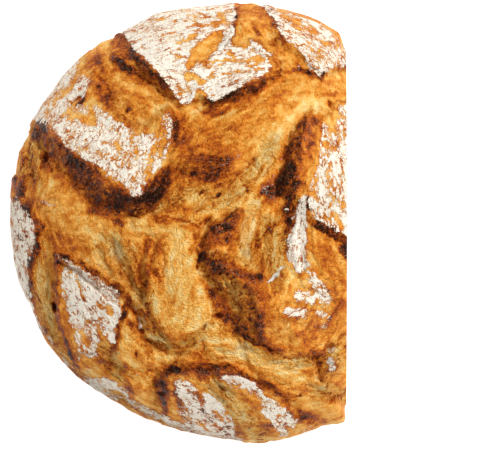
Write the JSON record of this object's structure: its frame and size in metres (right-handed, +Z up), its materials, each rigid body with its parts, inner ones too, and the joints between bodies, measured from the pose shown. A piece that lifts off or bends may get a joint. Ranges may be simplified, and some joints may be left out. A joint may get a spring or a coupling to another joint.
{
  "type": "spelt bread",
  "caption": "Round rustic spelt loaf with a torn, floured crust, cut straight across near one side and resting on its flat base",
  "frame": {"origin": "middle of the bounding box, on the base that the loaf rests on", "axes": "+Z is up out of the base; the straight cut faces +X; +Y runs along the cut, toward the end with the large torn plate beside the cut's far corner"},
  "size_m": [0.1848, 0.2418, 0.086],
  "materials": {
    "crust": "baked bread crust, dry and matt, dusted with flour on the torn plates",
    "crumb": "cream-tan bread crumb on the cut, matt and open-pored"
  },
  "bodies": {
    "root": {"loaf": "crust"}
  },
  "joints": []
}
